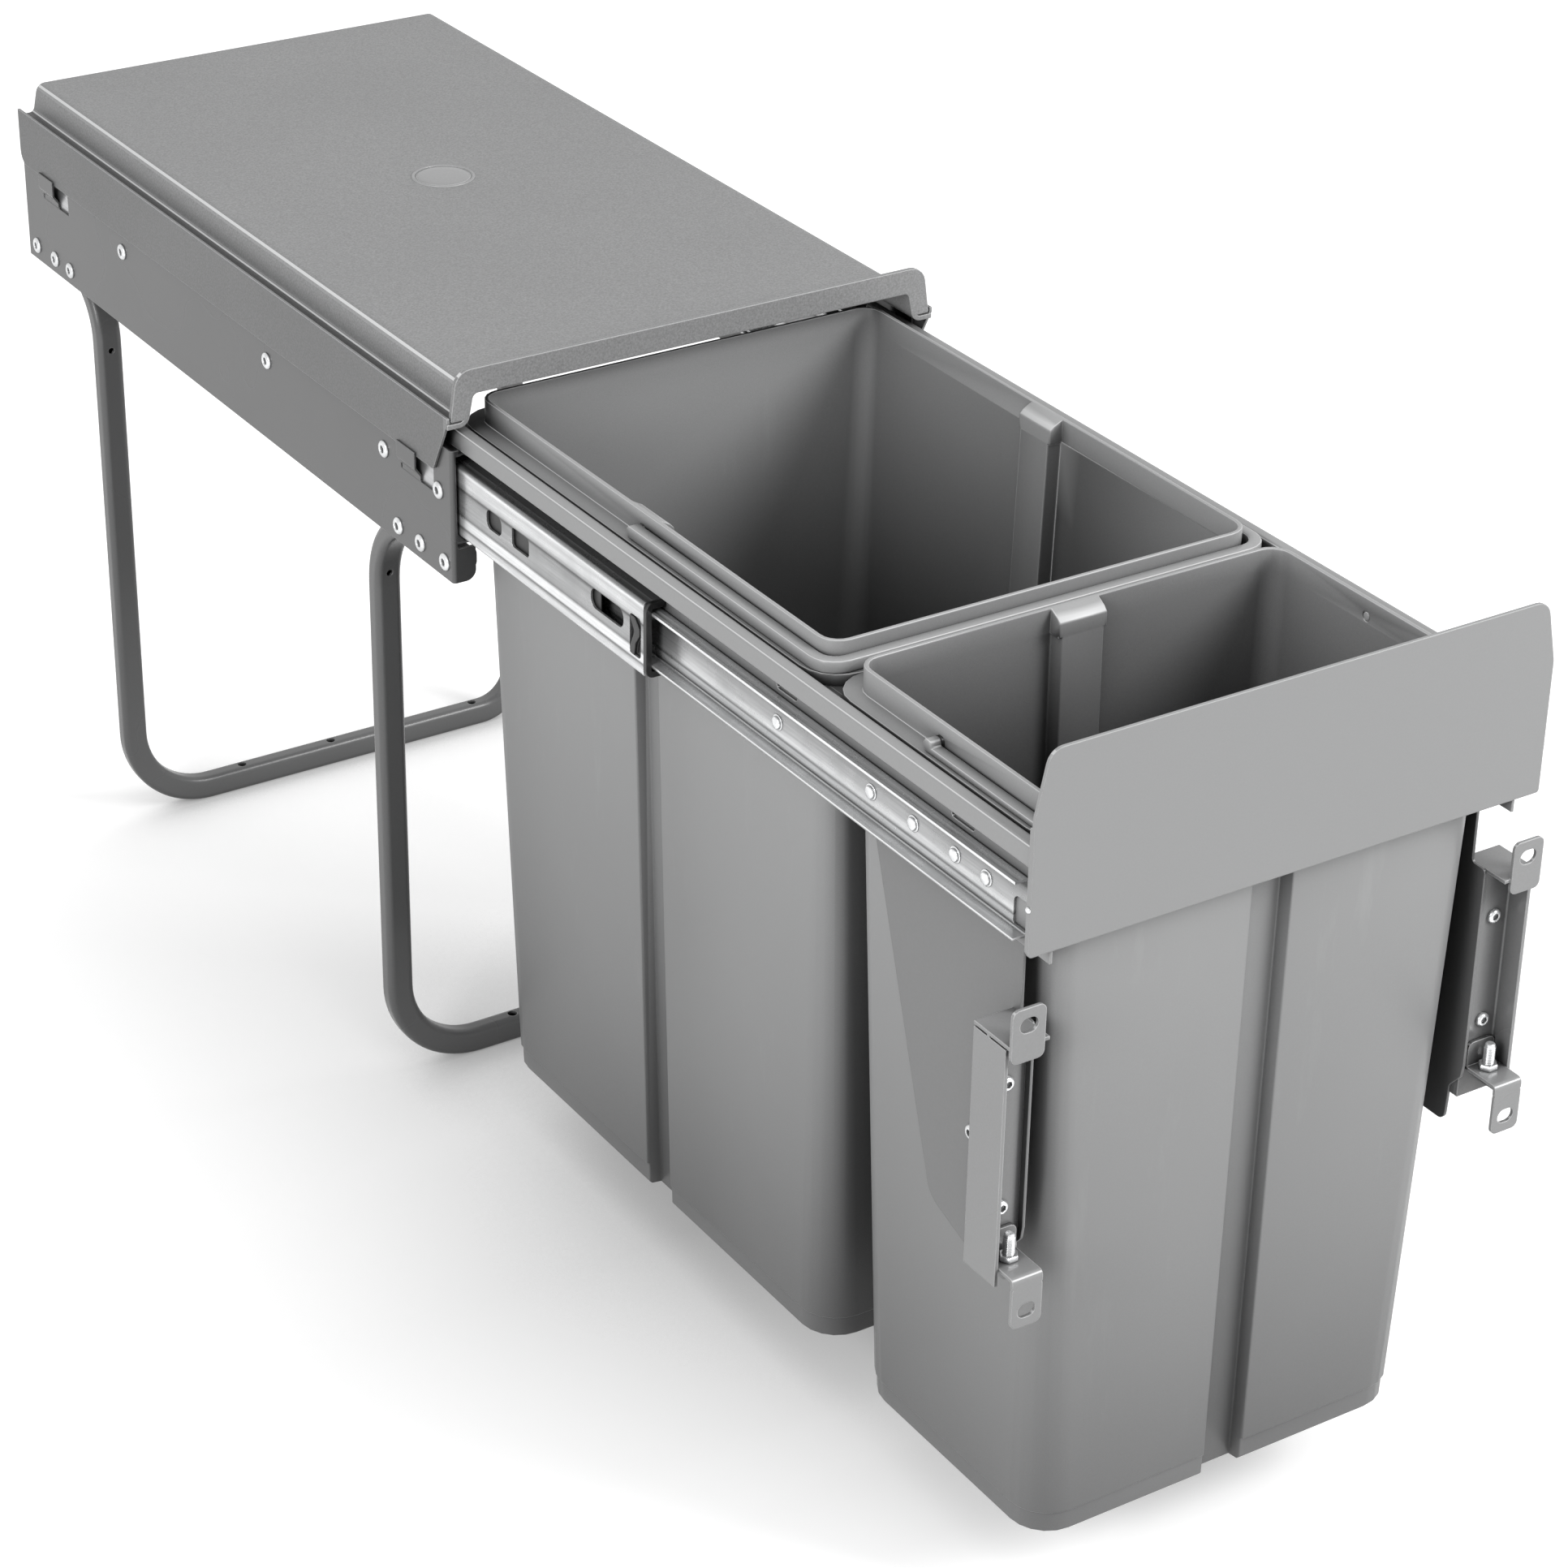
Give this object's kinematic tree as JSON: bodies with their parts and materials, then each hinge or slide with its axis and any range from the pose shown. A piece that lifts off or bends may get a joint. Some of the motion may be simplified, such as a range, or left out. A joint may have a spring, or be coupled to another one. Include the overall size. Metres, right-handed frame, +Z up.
{
  "type": "pull out bin frame",
  "caption": "Floor-mounted cabinet frame with ball-bearing slides, a lidded top and a pull-out carrier that holds a large and a small waste bin behind a door front.",
  "frame": {"origin": "on the cabinet floor, under the middle of the unit's length and width with the drawer drawn out as in the picture", "axes": "+X to the right seen from the front, +Y into the cabinet, +Z up; the drawer pulls out along -Y"},
  "size_m": [0.2584, 0.901, 0.4175],
  "materials": {
    "lid_paint": "fine grained matt paint",
    "badge_paint": "matt paint, plain",
    "plate_paint": "satin paint",
    "leg_paint": "satin paint",
    "carrier_paint": "satin paint",
    "panel_paint": "matt paint",
    "arm_paint": "satin paint",
    "bracket_steel": "satin",
    "zinc": "zinc plated, satin",
    "rail_zinc": "zinc plated, rolled",
    "ball_steel": "polished",
    "latch_plastic": "moulded, black",
    "cage_plastic": "moulded",
    "bin_plastic": "moulded, fine satin texture",
    "handle_plastic": "moulded, satin"
  },
  "bodies": {
    "cabinet_frame": {"lid": "lid_paint", "lid_badge": "badge_paint", "left_side_plate": "plate_paint", "right_side_plate": "plate_paint", "front_leg": "leg_paint", "rear_leg": "leg_paint", "frame_rivets": "zinc", "left_outer_rail": "rail_zinc", "right_outer_rail": "rail_zinc"},
    "left_mid_slide": {"left_middle_rail": "rail_zinc", "left_rail_latch": "latch_plastic"},
    "right_mid_slide": {"right_middle_rail": "rail_zinc", "right_rail_latch": "latch_plastic"},
    "left_outer_bearing": {"left_outer_cage": "zinc", "left_outer_balls": "ball_steel"},
    "right_outer_bearing": {"right_outer_cage": "zinc", "right_outer_balls": "ball_steel"},
    "left_inner_bearing": {"left_inner_cage": "cage_plastic", "left_inner_balls": "ball_steel"},
    "right_inner_bearing": {"right_inner_cage": "cage_plastic", "right_inner_balls": "ball_steel"},
    "drawer": {"left_inner_rail": "rail_zinc", "right_inner_rail": "rail_zinc", "left_carrier_rail": "carrier_paint", "right_carrier_rail": "carrier_paint", "left_bin_support": "carrier_paint", "right_bin_support": "carrier_paint", "rear_bar": "carrier_paint", "middle_bar": "carrier_paint", "front_bar": "carrier_paint", "front_panel": "panel_paint", "panel_screws": "zinc", "rail_rivets": "zinc", "left_door_arm": "arm_paint", "right_door_arm": "arm_paint", "left_door_bracket": "bracket_steel", "right_door_bracket": "bracket_steel", "bracket_screws": "zinc", "large_bin": "bin_plastic"},
    "small_bin": {"small_bin": "bin_plastic"},
    "small_handle": {"small_handle": "handle_plastic"},
    "large_handle": {"large_handle": "handle_plastic"},
    "left_lower_bracket": {"left_lower_bracket": "bracket_steel", "left_adjusting_screw": "zinc"},
    "right_lower_bracket": {"right_lower_bracket": "bracket_steel", "right_adjusting_screw": "zinc"}
  },
  "joints": [
    {"name": "drawer_slide", "type": "slide", "parent": "cabinet_frame", "child": "drawer", "axis": [0, -1, 0], "range_m": [-0.412, 0.038]},
    {"name": "left_mid_slide_travel", "type": "slide", "parent": "cabinet_frame", "child": "left_mid_slide", "axis": [0, -1, 0], "range_m": [-0.15923, 0.01487]},
    {"name": "left_outer_bearing_travel", "type": "slide", "parent": "cabinet_frame", "child": "left_outer_bearing", "axis": [0, -1, 0], "range_m": [-0.07972, 0.00753]},
    {"name": "left_inner_bearing_travel", "type": "slide", "parent": "cabinet_frame", "child": "left_inner_bearing", "axis": [0, -1, 0], "range_m": [-0.28572, 0.02653]},
    {"name": "right_mid_slide_travel", "type": "slide", "parent": "cabinet_frame", "child": "right_mid_slide", "axis": [0, -1, 0], "range_m": [-0.15923, 0.01487]},
    {"name": "right_outer_bearing_travel", "type": "slide", "parent": "cabinet_frame", "child": "right_outer_bearing", "axis": [0, -1, 0], "range_m": [-0.07972, 0.00753]},
    {"name": "right_inner_bearing_travel", "type": "slide", "parent": "cabinet_frame", "child": "right_inner_bearing", "axis": [0, -1, 0], "range_m": [-0.28572, 0.02653]},
    {"name": "small_bin_lift", "type": "slide", "parent": "drawer", "child": "small_bin", "axis": [0, 0, 1], "range_m": [0, 0.4]},
    {"name": "large_handle_hinge", "type": "hinge", "parent": "drawer", "child": "large_handle", "pos_m": [0, -0.139, 0.3775], "axis": [-1, 0, 0], "range_deg": [0, 95]},
    {"name": "small_handle_hinge", "type": "hinge", "parent": "small_bin", "child": "small_handle", "pos_m": [0, -0.358, 0.3778], "axis": [-1, 0, 0], "range_deg": [0, 95]},
    {"name": "left_bracket_adjust", "type": "slide", "parent": "drawer", "child": "left_lower_bracket", "axis": [0, 0, 1], "range_m": [-0.006, 0.004]},
    {"name": "right_bracket_adjust", "type": "slide", "parent": "drawer", "child": "right_lower_bracket", "axis": [0, 0, 1], "range_m": [-0.006, 0.004]}
  ],
  "couplings": [
    {"joint": "left_mid_slide_travel", "follows": "drawer_slide", "ratio": 0.386},
    {"joint": "left_outer_bearing_travel", "follows": "drawer_slide", "ratio": 0.193},
    {"joint": "left_inner_bearing_travel", "follows": "drawer_slide", "ratio": 0.693},
    {"joint": "right_mid_slide_travel", "follows": "drawer_slide", "ratio": 0.386},
    {"joint": "right_outer_bearing_travel", "follows": "drawer_slide", "ratio": 0.193},
    {"joint": "right_inner_bearing_travel", "follows": "drawer_slide", "ratio": 0.693}
  ]
}
